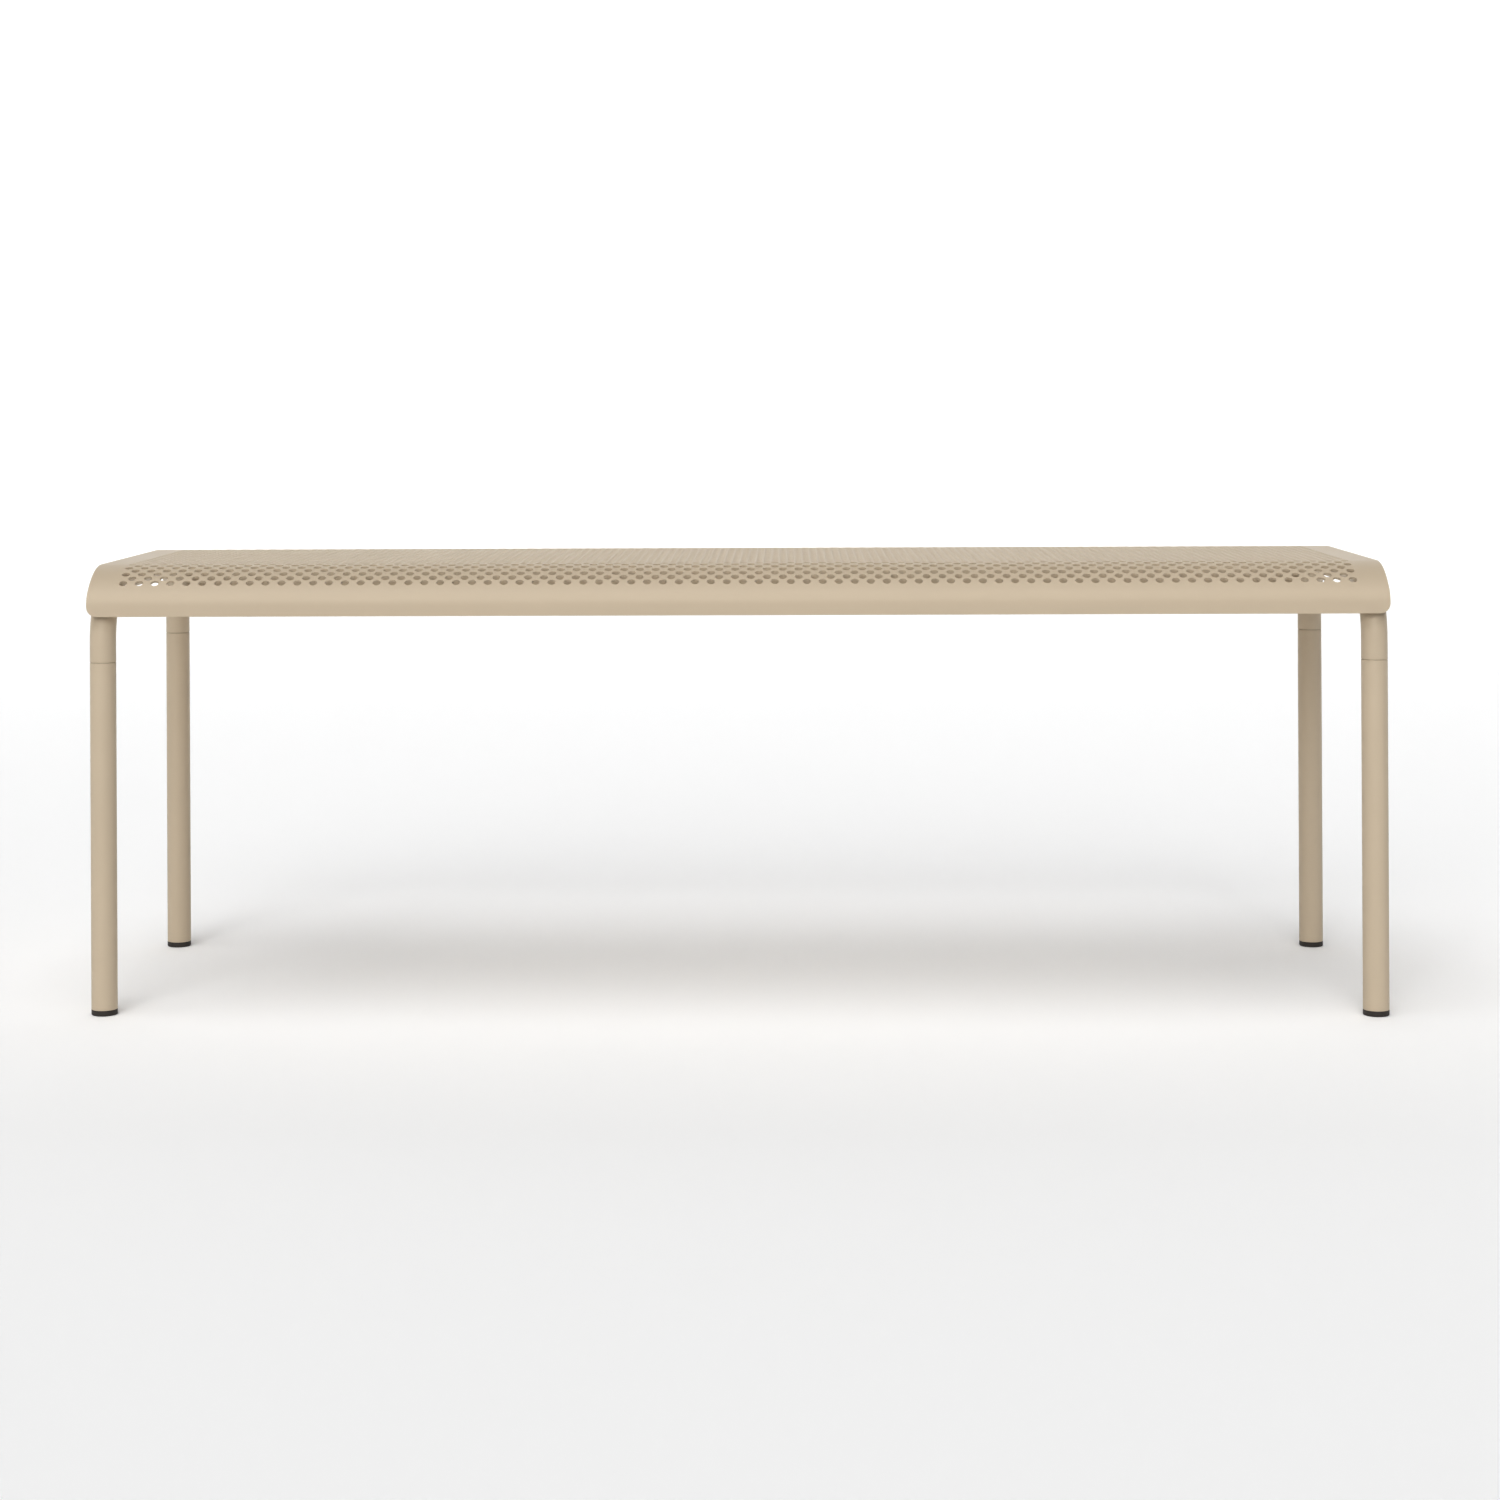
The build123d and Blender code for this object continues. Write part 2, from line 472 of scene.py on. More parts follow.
# %% Closing the blank
blank_parts = seat_tree.nodes.new("GeometryNodeJoinGeometry")
for part in (holes, margin, margin_below):
    seat_tree.links.new(part, blank_parts.inputs[0])
weld_distance = 0.02 * MM
blank = add_node(
    seat_tree, "GeometryNodeMergeByDistance", in0=blank_parts.outputs[0], in2=weld_distance
).outputs[0]
edge_faces = seat_tree.nodes.new("GeometryNodeInputMeshEdgeNeighbors").outputs[0]
_, _, level = split(seat_place)
open_top = (Field(edge_faces) < 1.5) * (level > -0.5 * sheet)
closed = add_node(seat_tree, "GeometryNodeGroup", {"node_tree": rim_tree}, in0=blank, in1=open_top > 0.5)
connect(seat_tree, stored(seat_tree, "outward", "FLOAT_VECTOR"), closed.inputs[2])
connect(seat_tree, seat_in.outputs["Thickness"], closed.inputs[3])
closed.inputs[4].default_value = rim_step
blank = add_node(
    seat_tree, "GeometryNodeMergeByDistance", in0=closed.outputs[0], in2=weld_distance
).outputs[0]

# %% Folding every point
flat_x, flat_s, flat_depth = split(seat_place)
outline_run = flat_s.size()
roll_lean = (outline_run - flat_half).within(0.0, roll_run) / roll_radius
edge_lean = (outline_run - roll_end).within(0.0, edge_run) / edge_radius
lean = roll_lean + edge_lean
down_lip = (outline_run - edge_end).math("MAXIMUM", 0.0)
outward_run = (
    outline_run.math("MINIMUM", flat_half)
    + roll_lean.sin() * roll_radius
    + (lean.sin() - roll_lean.sin()) * edge_radius
    + flat_depth * lean.sin()
)
fall = (
    (roll_lean.cos() * -roll_radius + roll_radius)
    + (roll_lean.cos() - lean.cos()) * edge_radius
    + down_lip
    - flat_depth * lean.cos()
)
folded_place = join(seat_tree, flat_x, flat_s.sign() * outward_run, fall * -1.0 + height)
folded = add_node(seat_tree, "GeometryNodeSetPosition", in0=blank, in2=folded_place).outputs[0]
smooth = add_node(
    seat_tree, "GeometryNodeSetShadeSmooth", {"domain": "FACE"}, in0=folded, in2=True
).outputs[0]
edge_bend = Field(seat_tree.nodes.new("GeometryNodeInputMeshEdgeAngle").outputs[0])
crisp_angle = radians(38)
crisp = add_node(
    seat_tree,
    "GeometryNodeSetShadeSmooth",
    {"domain": "EDGE"},
    in0=smooth,
    in1=edge_bend > crisp_angle,
    in2=False,
).outputs[0]
real = add_node(seat_tree, "GeometryNodeRealizeInstances", in0=crisp).outputs[0]
finished = add_node(seat_tree, "GeometryNodeSetMaterial", in0=real, in2=seat_in.outputs["Finish"]).outputs[0]
connect(seat_tree, finished, seat_out.inputs[0])
arrange(seat_tree)
print(f"seat group has {len(seat_tree.nodes)} nodes and {len(seat_tree.links)} links")

# %% [markdown]
# ## Shared effects of the finishes
# Each surface effect is a small shader group that gives out a colour, a mask or a normal,
# and each material joins the effects to its own shader. Object coordinates are used, so
# the grain has a real size in metres on every piece.

# %% Helpers for shaders
def shader_group(name, inputs, outputs):
    """A shader node group with named inputs and outputs."""
    return new_tree(name, inputs, "ShaderNodeTree", outputs)


def noise(tree, scale, detail=2.0, roughness=0.5):
    """Noise in object coordinates, where a scale of 1000 gives grains about a millimetre wide."""
    node = add_node(tree, "ShaderNodeTexNoise")
    node.inputs["Detail"].default_value = detail
    node.inputs["Roughness"].default_value = roughness
    connect(tree, scale, node.inputs["Scale"])
    return node


# %% Orange peel
peel, peel_in, peel_out = shader_group(
    "Orange peel",
    [
        ("Place", "NodeSocketVector", None),
        ("Bump Scale", "NodeSocketFloat", 420.0),
        ("Depth", "NodeSocketFloat", 0.00002),
        ("Strength", "NodeSocketFloat", 0.35),
    ],
    [("Height", "NodeSocketFloat"), ("Normal", "NodeSocketVector")],
)
waves = noise(peel, peel_in.outputs["Bump Scale"], 3.0, 0.45)
peel.links.new(peel_in.outputs["Place"], waves.inputs["Vector"])
peel_bump = add_node(peel, "ShaderNodeBump")
peel.links.new(waves.outputs[0], peel_bump.inputs["Height"])
peel.links.new(peel_in.outputs["Depth"], peel_bump.inputs["Distance"])
peel.links.new(peel_in.outputs["Strength"], peel_bump.inputs["Strength"])
peel.links.new(waves.outputs[0], peel_out.inputs["Height"])
peel.links.new(peel_bump.outputs[0], peel_out.inputs["Normal"])
arrange(peel)

# %% Slow drift of tone
drift, drift_in, drift_out = shader_group(
    "Tone drift",
    [
        ("Place", "NodeSocketVector", None),
        ("Colour", "NodeSocketColor", (0.5, 0.5, 0.5, 1.0)),
        ("Drift Scale", "NodeSocketFloat", 6.0),
        ("Amount", "NodeSocketFloat", 0.05),
    ],
    [("Colour", "NodeSocketColor"), ("Mask", "NodeSocketFloat")],
)
patches = noise(drift, drift_in.outputs["Drift Scale"], 4.0, 0.6)
drift.links.new(drift_in.outputs["Place"], patches.inputs["Vector"])
factor = (Field(patches.outputs[0]) - 0.5) * Field(drift_in.outputs["Amount"]) + 1.0
scaled = add_node(drift, "ShaderNodeVectorMath", {"operation": "SCALE"}, in0=drift_in.outputs["Colour"])
connect(drift, factor, scaled.inputs["Scale"])
drift.links.new(scaled.outputs[0], drift_out.inputs["Colour"])
drift.links.new(patches.outputs[0], drift_out.inputs["Mask"])
arrange(drift)

# %% [markdown]
# ## The beige powder coat
# Powder coat is a thick, baked paint. Up close it has a fine orange-peel ripple under an
# even satin shine, its tone drifts a little where the spray overlapped, and tiny specks
# stand out where grains didn't flow. It is a plain dielectric, so one Principled shader
# with a mid roughness is enough. A separate clear-coat layer would make it look like car
# paint.

# %% Material helper
def new_material(name, colour, roughness, metallic=0.0):
    """A material with a Principled shader, with its tree, the shader and a place socket."""
    material = bpy.data.materials.new(name)
    material.use_nodes = True
    tree = material.node_tree
    shader = tree.nodes["Principled BSDF"]
    shader.inputs["Base Color"].default_value = (*colour, 1.0)
    shader.inputs["Roughness"].default_value = roughness
    shader.inputs["Metallic"].default_value = metallic
    material.diffuse_color = (*colour, 1.0)
    place_socket = tree.nodes.new("ShaderNodeTexCoord").outputs["Object"]
    return material, tree, shader, place_socket


def use_group(tree, group, **inputs):
    """Add a shader group and set or link its inputs by name, with spaces written as underscores."""
    node = add_node(tree, "ShaderNodeGroup", {"node_tree": group})
    for name, value in inputs.items():
        connect(tree, value, node.inputs[name.replace("_", " ")])
    return node


# %% Powder coat
beige = (0.560, 0.475, 0.365)
coat, tree, shader, place_socket = new_material("Beige powder coat", beige, 0.45)
tone = use_group(tree, drift, Place=place_socket, Colour=(*beige, 1.0), Drift_Scale=7.0, Amount=0.06)
speck_scale, speck_start, speck_edge, speck_strength = 2600.0, 0.66, 9.0, 0.25
specks = noise(tree, speck_scale, 1.0, 0.5)
tree.links.new(place_socket, specks.inputs["Vector"])
speck_mask = ((Field(specks.outputs[0]) - speck_start) * speck_edge).within(0.0, 1.0)
darker = add_node(
    tree, "ShaderNodeMix", {"data_type": "RGBA", "blend_type": "MULTIPLY"}, in0=speck_mask * speck_strength
)
tree.links.new(tone.outputs["Colour"], darker.inputs["A"])
darker.inputs["B"].default_value = (0.80, 0.78, 0.74, 1.0)
tree.links.new(darker.outputs["Result"], shader.inputs["Base Color"])
peeled = use_group(tree, peel, Place=place_socket, Bump_Scale=620.0, Depth=0.000022, Strength=0.4)
tree.links.new(peeled.outputs["Normal"], shader.inputs["Normal"])
connect(tree, Field(tone.outputs["Mask"]) * 0.14 + 0.37, shader.inputs["Roughness"])
shader.inputs["IOR"].default_value = 1.45
shader.inputs["Specular IOR Level"].default_value = 0.35
arrange(tree)
print(f"{coat.name}: {len(tree.nodes)} nodes")

# %% [markdown]
# ## Bright zinc and dark nylon
# The studs, plugs and bushes are turned steel with a bright zinc plating: a cool metal
# with faint tool marks around the axis and a patchy shine where the plating is thinner.
# The glides are moulded nylon, nearly black, matt, with the fine grain that a spark-eroded
# mould leaves. The thin washers are nylon too, in beige, so that the joint hardly shows.

# %% Zinc plating
zinc_colour = (0.60, 0.61, 0.62)
zinc, tree, shader, place_socket = new_material("Bright zinc", zinc_colour, 0.3, metallic=1.0)
tone = use_group(tree, drift, Place=place_socket, Colour=(*zinc_colour, 1.0), Drift_Scale=90.0, Amount=0.25)
tree.links.new(tone.outputs["Colour"], shader.inputs["Base Color"])
connect(tree, Field(tone.outputs["Mask"]) * 0.3 + 0.2, shader.inputs["Roughness"])
stretch = add_node(tree, "ShaderNodeMapping", {"vector_type": "POINT"}, in0=place_socket)
stretch.inputs["Scale"].default_value = (0.15, 0.15, 6.0)
marks = use_group(tree, peel, Place=stretch.outputs[0], Bump_Scale=900.0, Depth=0.00001, Strength=0.3)
tree.links.new(marks.outputs["Normal"], shader.inputs["Normal"])
arrange(tree)

# %% Moulded nylon
nylon_colour = (0.045, 0.038, 0.033)
nylon, tree, shader, place_socket = new_material("Dark nylon", nylon_colour, 0.58)
tone = use_group(tree, drift, Place=place_socket, Colour=(*nylon_colour, 1.0), Drift_Scale=60.0, Amount=0.3)
tree.links.new(tone.outputs["Colour"], shader.inputs["Base Color"])
grain = use_group(tree, peel, Place=place_socket, Bump_Scale=2400.0, Depth=0.00003, Strength=0.5)
tree.links.new(grain.outputs["Normal"], shader.inputs["Normal"])
connect(tree, Field(tone.outputs["Mask"]) * 0.15 + 0.5, shader.inputs["Roughness"])
arrange(tree)

# %% Beige nylon for the washers
pale_colour = (0.42, 0.36, 0.27)
pale_nylon, tree, shader, place_socket = new_material("Beige nylon", pale_colour, 0.55)
tone = use_group(tree, drift, Place=place_socket, Colour=(*pale_colour, 1.0), Drift_Scale=80.0, Amount=0.2)
tree.links.new(tone.outputs["Colour"], shader.inputs["Base Color"])
grain = use_group(tree, peel, Place=place_socket, Bump_Scale=2000.0, Depth=0.00002, Strength=0.4)
tree.links.new(grain.outputs["Normal"], shader.inputs["Normal"])
shader.inputs["Subsurface Weight"].default_value = 0.1
shader.inputs["Subsurface Scale"].default_value = 0.5 * MM
arrange(tree)
print(f"{zinc.name}, {nylon.name} and {pale_nylon.name} made")

# %% [markdown]
# ## Making the seat
# The tree runs once for each half of the seat. Its inputs are set on the modifier before it is first
# evaluated, then the result is kept as a plain mesh and the modifier goes.

# %% Running the seat tree
def baked(name, tree, inputs):
    """Run a Geometry Nodes tree on an empty mesh and return the result as a plain mesh object."""
    holder = bpy.data.objects.new(name, bpy.data.meshes.new(name))
    bpy.context.scene.collection.objects.link(holder)
    modifier = holder.modifiers.new(name, "NODES")
    modifier.node_group = tree
    for item in tree.interface.items_tree:
        if item.item_type == "SOCKET" and item.in_out == "INPUT" and item.name in inputs:
            modifier[item.identifier] = inputs[item.name]
    evaluated = holder.evaluated_get(bpy.context.evaluated_depsgraph_get())
    mesh = bpy.data.meshes.new_from_object(evaluated)
    holder.modifiers.clear()
    holder.data = mesh
    mesh.name = name
    for extra in ("outward", "inward"):
        if extra in mesh.attributes:
            mesh.attributes.remove(mesh.attributes[extra])
    return holder


def finish_piece(piece, body, node):
    """Put a piece on its body and let it stand for its CAD node."""
    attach(piece, body)
    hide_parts(node)


far = 1000  # a row number well past the last row
middle_row = hole_rows // 2
halves = {"front_half": (-far, middle_row - 1), "back_half": (middle_row, far)}
for half, (first, last) in halves.items():
    inputs = {"First Row": first, "Last Row": last}
    inputs |= {"Hole Radius": hole_radius, "Thickness": sheet, "Finish": coat}
    seat_half = baked(f"seat_{half}", seat_tree, inputs)
    seat_half.data.materials.clear()
    seat_half.data.materials.append(coat)
    finish_piece(seat_half, "bench", "seat_panel")
    seat_half.data.calc_loop_triangles()
    print(f"{seat_half.name}: {len(seat_half.data.loop_triangles)} triangles")

# %% [markdown]
# ## Turned and bent pieces
# Tubes, plugs, bushes, studs, washers and glides are all rings of points joined one to the
# next. A ring mesh makes each of them: for a tube the rings run along the outside, round
# the rim, back along the inside and round the other rim, so the tube is closed and has a
# real wall.

# %% Ring meshes
def ring_mesh(name, rings, material, looped=False):
    """A closed mesh through rings of points, joined last to first or else capped at both."""
    count, sides = len(rings), len(rings[0])
    points = np.array(rings, float).reshape(-1, 3)
    faces = []
    for i in range(count if looped else count - 1):
        a, b = i * sides, (i + 1) % count * sides
        for j in range(sides):
            k = (j + 1) % sides
            faces.append((a + j, a + k, b + k, b + j))
    if not looped:
        faces.append(tuple(range(sides - 1, -1, -1)))
        faces.append(tuple(range((count - 1) * sides, count * sides)))
    mesh = bpy.data.meshes.new(name)
    mesh.from_pydata(points.tolist(), [], faces)
    mesh.materials.append(material)
    mesh.validate()
    turn_outward(mesh)
    piece = bpy.data.objects.new(name, mesh)
    bpy.context.scene.collection.objects.link(piece)
    return piece


def enclosed_volume(mesh):
    """Signed volume inside a closed mesh. It is negative when the faces point inwards."""
    mesh.calc_loop_triangles()
    corners = np.array([v.co for v in mesh.vertices])
    a, b, c = (corners[[t.vertices[i] for t in mesh.loop_triangles]] for i in range(3))
    return float(np.einsum("ij,ij->i", a, np.cross(b, c)).sum() / 6)


def turn_outward(mesh, crisp=38):
    """Turn the faces outward if needed, and shade smooth except across sharp edges."""
    if enclosed_volume(mesh) < 0:
        mesh.flip_normals()
    mesh.shade_smooth()
    mesh.set_sharp_from_angle(angle=radians(crisp))


def circle(centre, across, up, radius, sides):
    """Points of a circle in the plane of two directions."""
    angles = np.arange(sides) * 2 * pi / sides
    return [
        np.array(centre) + radius * (cos(a) * np.array(across) + sin(a) * np.array(up)) for a in angles
    ]


def lathe(name, profile, centre, material, sides=48, looped=True):
    """Turn (radius, height) points about a vertical axis through centre."""
    rings = [circle((centre[0], centre[1], z), (1, 0, 0), (0, 1, 0), r, sides) for r, z in profile]
    return ring_mesh(name, rings, material, looped)


def rounded(points, radius, steps=3):
    """Round the corners of a closed (radius, height) outline, each by the same amount."""
    result = []
    for i, point in enumerate(points):
        here = Vector(point)
        before, after = Vector(points[i - 1]), Vector(points[(i + 1) % len(points)])
        size = min(radius, (before - here).length / 2.01, (after - here).length / 2.01)
        start = here + (before - here).normalized() * size
        end = here + (after - here).normalized() * size
        for n in range(steps + 1):
            t = n / steps
            result.append(tuple((1 - t) ** 2 * start + 2 * t * (1 - t) * here + t * t * end))
    return result


# %% [markdown]
# ## The hoops
# Each hoop is one tube bent twice to a 60 mm radius: up from the front joint, across under
# the seat, and down to the back joint. Bending thins nothing that can be seen, so the
# section stays round. The ends are cut square and their rims are broken by the coat.

# %% Hoop path
hoop_sides = 48
bend_steps = 20
rim_round = 0.4 * MM


def hoop_stations():
    """(place, direction) along the centre line of a hoop, in its own plane, from front to back."""
    straight_steps = 6
    stations = []
    bend_z = crossbar_z - hoop_bend
    bend_y = hoop_y - hoop_bend
    for n in range(straight_steps):
        stations.append((-hoop_y, joint_height + (bend_z - joint_height) * n / straight_steps, pi / 2))
    for n in range(bend_steps + 1):
        turn_by = pi / 2 * n / bend_steps
        y, z = -bend_y - hoop_bend * cos(turn_by), bend_z + hoop_bend * sin(turn_by)
        stations.append((y, z, pi / 2 - turn_by))
    crossbar_y = [-bend_y + 2 * bend_y * n / straight_steps for n in range(1, straight_steps)]
    crossbar = [(y, crossbar_z, 0.0) for y in crossbar_y]
    mirrored = [(-y, z, -way) for y, z, way in reversed(stations)]
    return stations + crossbar + mirrored


def hoop_ring(side, station, radius, shift=0.0):
    """One ring of a hoop, moved along the path by shift."""
    y, z, way = station
    along_path = np.array((0, cos(way), sin(way)))
    centre = np.array((side * hoop_x, y, z)) + along_path * shift
    return circle(centre, (1, 0, 0), (0, -sin(way), cos(way)), radius, hoop_sides)


# %% Building the hoops
rim_steps = 3
rim_out_turns = [pi / 2 * n / rim_steps for n in range(rim_steps + 1)]
rim_in_turns = [pi / 2 * (1 - n / rim_steps) for n in range(rim_steps + 1)]


def hoop_rim(side, station, radius, way_in, way_along, turns):
    """Rings round one rounded edge of a tube's end."""
    rings = []
    for turn_by in turns:
        rim_radius = radius + way_in * rim_round * (1 - sin(turn_by))
        rings.append(hoop_ring(side, station, rim_radius, way_along * rim_round * (1 - cos(turn_by))))
    return rings


for side_name, side in SIDES.items():
    path = hoop_stations()
    inner = tube_radius - hoop_wall
    rings = hoop_rim(side, path[0], tube_radius, -1, 1, rim_out_turns[:-1])
    rings += [hoop_ring(side, s, tube_radius, rim_round if i == 0 else 0.0) for i, s in enumerate(path[:-1])]
    rings += hoop_rim(side, path[-1], tube_radius, -1, -1, rim_in_turns)
    rings += hoop_rim(side, path[-1], inner, 1, -1, rim_out_turns)
    rings += [hoop_ring(side, s, inner) for s in reversed(path[1:-1])]
    rings += hoop_rim(side, path[0], inner, 1, 1, rim_in_turns)
    hoop = ring_mesh(f"{side_name}_hoop_tube", rings, coat, looped=True)
    finish_piece(hoop, "bench", f"{side_name}_hoop")
    print(f"{hoop.name}: {len(rings)} rings, {enclosed_volume(hoop.data) * 1e9:.0f} mm3 of steel")

# %% [markdown]
# ## The weld beads
# Six short runs of weld hold each hoop to the seat, three on each side of the crossbar. A
# hand-run bead is a row of overlapping ripples about a millimetre and a half apart, never
# quite even, that tapers off at both ends. Each is swept along the crossbar with a rippled
# face, and the random numbers are seeded so that the beads are the same in every run.

# %% Weld beads
weld_run = 50 * MM
weld_size = 5.5 * MM
weld_low, weld_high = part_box("left_hoop_welds")
weld_spacing = (weld_high.y - weld_low.y - weld_run) / 2
sheet_under = height - sheet
bead_step = 0.45 * MM
ripple_pitch = 1.6 * MM
random.seed(11)


def bead_section(fullness):
    """Outline of a bead in the wedge between tube and sheet, as (sideways, height)."""
    toe = sqrt(tube_radius**2 - (tube_radius - weld_size) ** 2)
    root = weld_size / 2
    face_top = Vector((root + (tube_radius - 0.3 * MM - root) * fullness, sheet_under))
    face_foot = Vector((root + (toe - root) * fullness, 0))
    face_foot.y = crossbar_z + sqrt(tube_radius**2 - face_foot.x**2)
    outline = [Vector((root, sheet_under))]
    for n in range(6):
        t = n / 5
        bulge = 0.35 * MM * sin(pi * t) * fullness
        outline.append(face_top.lerp(face_foot, t) + Vector((bulge * 0.5, -bulge)))
    for n in range(1, 5):
        x = face_foot.x + (root - face_foot.x) * n / 5
        outline.append(Vector((x, crossbar_z + sqrt(tube_radius**2 - x * x))))
    outline.append(Vector((root, crossbar_z + sqrt(tube_radius**2 - root**2))))
    return outline


def bead_rings(side, flank, middle):
    """Rings of one bead, flank -1 or 1 of the tube, about a place along the crossbar."""
    phase, steps = random.uniform(0, 2 * pi), ceil(weld_run / bead_step)
    rings, wander = [], 0.0
    for n in range(steps + 1):
        y = middle - weld_run / 2 + weld_run * n / steps
        wander = 0.9 * wander + random.uniform(-0.012, 0.012)
        from_end = min(n, steps - n) * bead_step
        taper = sqrt(1 - (1 - min(1.0, from_end / (4 * MM))) ** 2)
        ripple = 0.035 * sin(2 * pi * y / ripple_pitch + phase)
        fullness = max(0.12, taper * (0.93 + ripple + wander))
        section = bead_section(min(1.0, fullness))
        rings.append([(side * hoop_x + flank * p.x, y, p.y) for p in section])
    return rings


for side_name, side in SIDES.items():
    beads = []
    for spot in (-weld_spacing, 0.0, weld_spacing):
        for flank in (-1, 1):
            beads.append(ring_mesh("bead", bead_rings(side, flank, spot), coat))
    with bpy.context.temp_override(active_object=beads[0], selected_editable_objects=beads):
        bpy.ops.object.join()
    beads[0].name = f"{side_name}_weld_beads"
    finish_piece(beads[0], "bench", f"{side_name}_hoop_welds")
    print(f"{beads[0].name}: {len(beads[0].data.polygons)} faces")

# %% [markdown]
# ## The screw thread
# The legs screw onto the hoop ends with M10 studs, 1.5 mm to a turn. A thread is a surface
# whose radius depends on how far round and how far up a point is, so it is drawn as rings
# with that radius. The bush uses the same formula with a small clearance, and the two
# stay in mesh while the leg turns.

# %% Thread shape
thread_pitch = 1.5 * MM
thread_crest = 5.0 * MM
thread_depth = 0.92 * MM
thread_sides = 36
rows_per_turn = 10
joint_clearance = 0.15 * MM


def thread_radius(angle, z):
    """Radius of the stud's thread at an angle and a height: a V, flattened at crest and root."""
    turn_part = ((z - joint_height) / thread_pitch - angle / (2 * pi)) % 1.0
    slope = abs(2 * turn_part - 1)
    return thread_crest - thread_depth * min(1.0, max(0.0, (slope - 0.15) / 0.7))


def thread_ring(x, y, z, clearance=0.0, crest_limit=thread_crest):
    """One ring of a thread, no wider than crest_limit."""
    ring_points = []
    for n in range(thread_sides):
        angle = 2 * pi * n / thread_sides
        r = min(crest_limit, thread_radius(angle, z)) + clearance
        ring_points.append((x + r * cos(angle), y + r * sin(angle), z))
    return ring_points


def plain_ring(x, y, z, radius):
    """A round ring with as many points as a thread ring."""
    return circle((x, y, z), (1, 0, 0), (0, 1, 0), radius, thread_sides)


# %% [markdown]
# ## One screw joint and leg
# From the top down: the threaded bush inside the hoop end, a thin nylon washer that keeps
# the coat from chipping, the stud, the plug that holds the stud in the leg, the leg tube
# and the nylon glide pressed into its foot. All turn about one vertical axis, and
# everything below the bush leaves with the leg.

# %% Bush, washer and stud
def make_joint(name, x, y):
    """The threaded bush, the washer and the stud at one corner."""
    low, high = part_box(f"{name}_joint_bush")
    outer = (high.x - low.x) / 2
    rows = ceil((high.z - low.z) / thread_pitch * rows_per_turn)
    bore = [low.z + (high.z - low.z) * n / rows for n in range(rows + 1)]
    lead_in = 0.6 * MM
    rings = [plain_ring(x, y, low.z, outer - lead_in), plain_ring(x, y, low.z + lead_in, outer)]
    rings += [plain_ring(x, y, high.z - lead_in, outer), plain_ring(x, y, high.z, outer - lead_in)]
    rings += [plain_ring(x, y, high.z, thread_crest + joint_clearance)]
    rings += [thread_ring(x, y, z, joint_clearance) for z in reversed(bore[1:-1])]
    rings += [plain_ring(x, y, low.z, thread_crest + joint_clearance)]
    bush = ring_mesh(f"{name}_bush", rings, zinc, looped=True)
    finish_piece(bush, "bench", f"{name}_joint_bush")

    low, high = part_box(f"{name}_joint_washer")
    outer = (high.x - low.x) / 2
    inner = thread_crest + joint_clearance
    outline = rounded([(inner, low.z), (outer, low.z), (outer, high.z), (inner, high.z)], 0.15 * MM)
    washer = lathe(f"{name}_washer_ring", outline, (x, y), pale_nylon)
    finish_piece(washer, f"{name}_washer", f"{name}_joint_washer")

    low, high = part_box(f"{name}_leg_stud")
    tip = 1.0 * MM
    plug_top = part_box(f"{name}_leg_plug")[1].z
    rings = [plain_ring(x, y, low.z, thread_crest - tip), plain_ring(x, y, low.z + tip, thread_crest)]
    rings += [plain_ring(x, y, plug_top - thread_pitch / 2, thread_crest)]
    rows = ceil((high.z - plug_top) / thread_pitch * rows_per_turn)
    for n in range(rows + 1):
        z = plug_top + (high.z - plug_top) * n / rows
        rings.append(thread_ring(x, y, z, crest_limit=thread_crest - max(0.0, z - high.z + tip)))
    stud = ring_mesh(f"{name}_stud", rings, zinc)
    finish_piece(stud, f"{name}_screwed_leg", f"{name}_leg_stud")
    return len(bush.data.polygons) + len(washer.data.polygons) + len(stud.data.polygons)


# %% Plug, leg and glide
washer_relief = 0.1 * MM  # the plug stays this far below the leg's end, clear of the washer


def make_leg(name, x, y):
    """The plug, the leg tube and the glide at one corner."""
    low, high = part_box(f"{name}_leg_plug")
    bore = (high.x - low.x) / 2
    plug_top = high.z - washer_relief
    square = [(thread_crest, low.z), (bore, low.z), (bore, plug_top), (thread_crest, plug_top)]
    plug = lathe(f"{name}_plug", rounded(square, 0.5 * MM), (x, y), zinc)
    finish_piece(plug, f"{name}_screwed_leg", f"{name}_leg_plug")

    low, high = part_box(f"{name}_leg")
    square = [(bore, low.z), (tube_radius, low.z), (tube_radius, high.z), (bore, high.z)]
    leg = lathe(f"{name}_leg_tube", rounded(square, rim_round), (x, y), coat, sides=64)
    finish_piece(leg, f"{name}_screwed_leg", f"{name}_leg")

    low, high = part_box(f"{name}_glide")
    rim_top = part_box(f"{name}_leg")[0].z
    spigot, spigot_wall, foot_round = bore - 0.1 * MM, 2 * MM, 1.2 * MM
    dish, on_axis = 0.6 * MM, 0.0001 * MM
    outline = [(on_axis, low.z + dish), (tube_radius * 0.55, low.z + dish), (tube_radius * 0.62, low.z)]
    for n in range(5):
        a = pi / 2 * n / 4
        outline.append((tube_radius - foot_round * (1 - sin(a)), low.z + foot_round * (1 - cos(a))))
    outline += [(tube_radius, rim_top - 0.3 * MM), (tube_radius - 0.3 * MM, rim_top), (spigot, rim_top)]
    outline += [(spigot, high.z - 1.2 * MM), (spigot - 0.8 * MM, high.z), (spigot - spigot_wall, high.z)]
    outline += [(spigot - spigot_wall, rim_top), (on_axis, rim_top)]
    glide = lathe(f"{name}_foot_glide", outline, (x, y), nylon, sides=64, looped=False)
    finish_piece(glide, f"{name}_screwed_leg", f"{name}_glide")
    return len(plug.data.polygons) + len(leg.data.polygons) + len(glide.data.polygons)


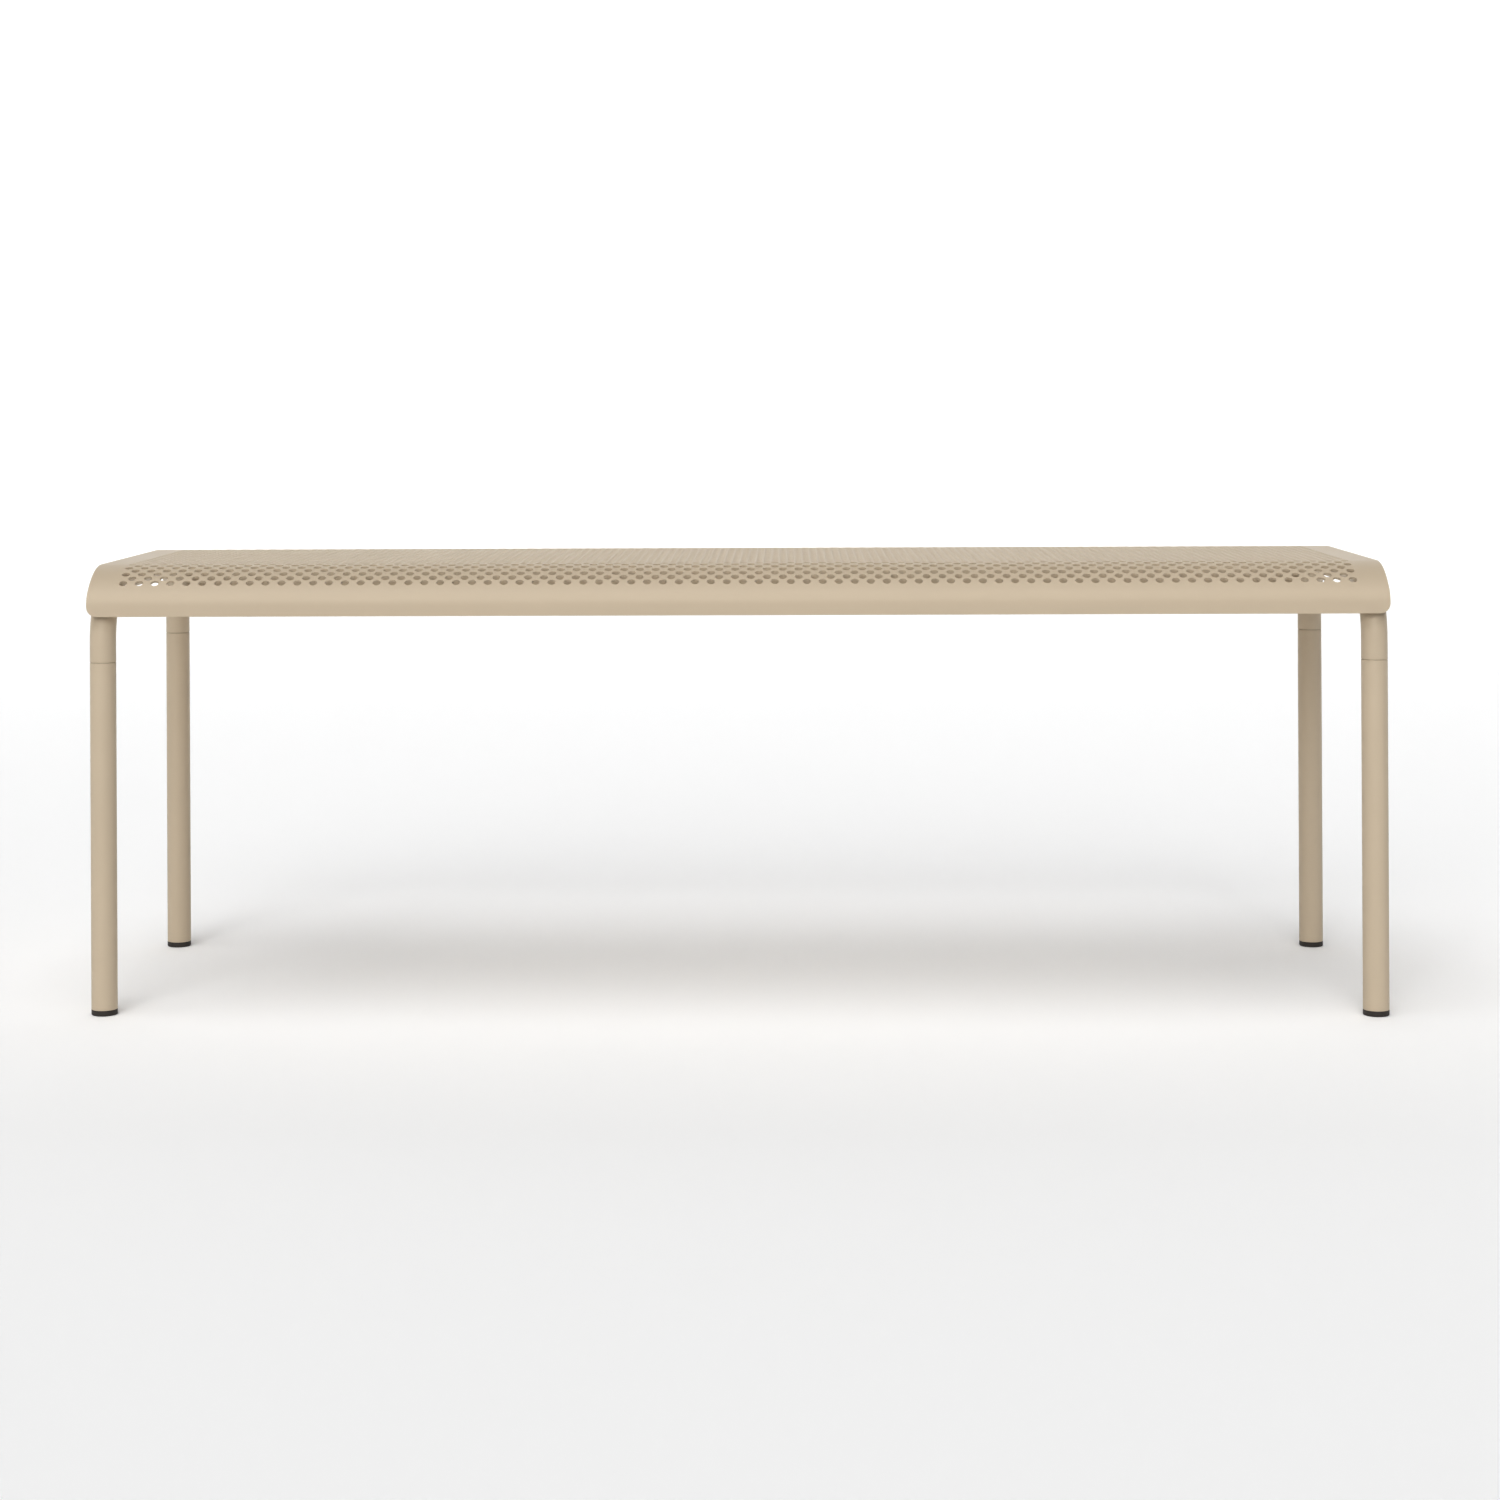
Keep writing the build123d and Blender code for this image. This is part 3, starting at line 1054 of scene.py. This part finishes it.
for name, (side, row) in CORNERS.items():
    faces = make_joint(name, side * hoop_x, row * hoop_y) + make_leg(name, side * hoop_x, row * hoop_y)
    print(f"{name}: {faces} faces")

# %% [markdown]
# ## Floor, light and camera
# The bench stands on a plain pale floor between pale walls that glow a little, so that they
# stay white. Two wide, soft lamps light it. The one above lights the top of the seat and
# keeps its underside dark, so that the holes read as dark dots. The one in front is low:
# it lights the lips and the feet of the back legs, and leaves their tops in the seat's
# shade. A little more contrast in the view does the rest. The lens is shifted down a
# little, as with a view camera, so that the legs stay upright while the camera is near the
# height of the seat.

# %% Floor and surround
def glowing(name, tone, glow):
    """A matt pale material that gives out a little light."""
    material, _, shader, _ = new_material(name, (tone, tone, tone), 0.9)
    shader.inputs["Emission Color"].default_value = (1.0, 1.0, 1.0, 1.0)
    shader.inputs["Emission Strength"].default_value = glow
    return material


def backdrop(name, corners, material):
    """One flat sheet of the studio."""
    mesh = bpy.data.meshes.new(name)
    mesh.from_pydata(corners, [], [(0, 1, 2, 3)])
    mesh.materials.append(material)
    backdrop_piece = bpy.data.objects.new(name, mesh)
    bpy.context.scene.collection.objects.link(backdrop_piece)


floor_half = 14.0
floor_corners = [(-floor_half, -floor_half, 0), (floor_half, -floor_half, 0)]
floor_corners += [(floor_half, floor_half, 0), (-floor_half, floor_half, 0)]
backdrop("floor", floor_corners, glowing("Pale floor", 0.88, 0.05))

back_wall, side_wall = 9.0, 13.9  # distances from the bench
low_wall, high_wall = 2.4, 9.0  # only the back wall may be high: the others would shade the lamps
lit_wall = glowing("Lit wall", 0.5, 0.7)
wall_feet = {
    "back": ((-floor_half, back_wall), (floor_half, back_wall), high_wall),
    "front": ((floor_half, -side_wall), (-floor_half, -side_wall), low_wall),
    "left": ((-side_wall, -floor_half), (-side_wall, floor_half), low_wall),
    "right": ((side_wall, floor_half), (side_wall, -floor_half), low_wall),
}
for name, (start, end, wall_height) in wall_feet.items():
    wall_corners = [(*start, 0), (*end, 0), (*end, wall_height), (*start, wall_height)]
    backdrop(f"{name}_wall", wall_corners, lit_wall)

world = bpy.data.worlds.new("Studio")
world.use_nodes = True
world.node_tree.nodes["Background"].inputs["Color"].default_value = (1.0, 1.0, 1.0, 1.0)
world.node_tree.nodes["Background"].inputs["Strength"].default_value = 0.12
bpy.context.scene.world = world


# %% Lamps
def aim(lamp, target):
    """Turn a lamp so that it points at a target."""
    lamp.rotation_euler = (Vector(target) - lamp.location).to_track_quat("-Z", "Y").to_euler()


def sun(name, place, strength, spread):
    """A distant soft lamp, as even as a wide softbox, shining from place towards the bench."""
    light = bpy.data.lights.new(name, "SUN")
    light.energy = strength
    light.angle = radians(spread)
    lamp = bpy.data.objects.new(name, light)
    lamp.location = place
    aim(lamp, (0, 0, 0))
    bpy.context.scene.collection.objects.link(lamp)
    return lamp


sun("top", (-0.25, -0.5, 2.0), 1.6, 45)
sun("front", (-0.3, -2.2, 1.25), 1.45, 35)
print(f"{len(bpy.data.lights)} lamps")

# %% Camera
camera_place = Vector((0.05315, -3.1429, 0.6272))
turn_left, tilt_up, roll = 0.02463, 0.00111, 0.00480
camera_data = bpy.data.cameras.new("camera")
camera_data.sensor_width = 36
camera_data.lens = 70.9
camera_data.shift_x = 0.0238
camera_data.shift_y = -0.2433
camera_turn = Matrix.Rotation(turn_left, 3, "Z") @ Matrix.Rotation(tilt_up, 3, "X")
camera_turn = camera_turn @ Matrix.Rotation(roll, 3, "Y")
right, forward, up = camera_turn.col[0], camera_turn.col[1], camera_turn.col[2]
camera = bpy.data.objects.new("camera", camera_data)
camera.matrix_world = Matrix.Translation(camera_place) @ Matrix((right, up, -forward)).transposed().to_4x4()
bpy.context.scene.collection.objects.link(camera)
bpy.context.scene.camera = camera
bpy.context.scene.view_settings.view_transform = "Standard"
bpy.context.scene.view_settings.gamma = 0.8
print(f"camera at {tuple(round(v, 3) for v in camera_place)}")
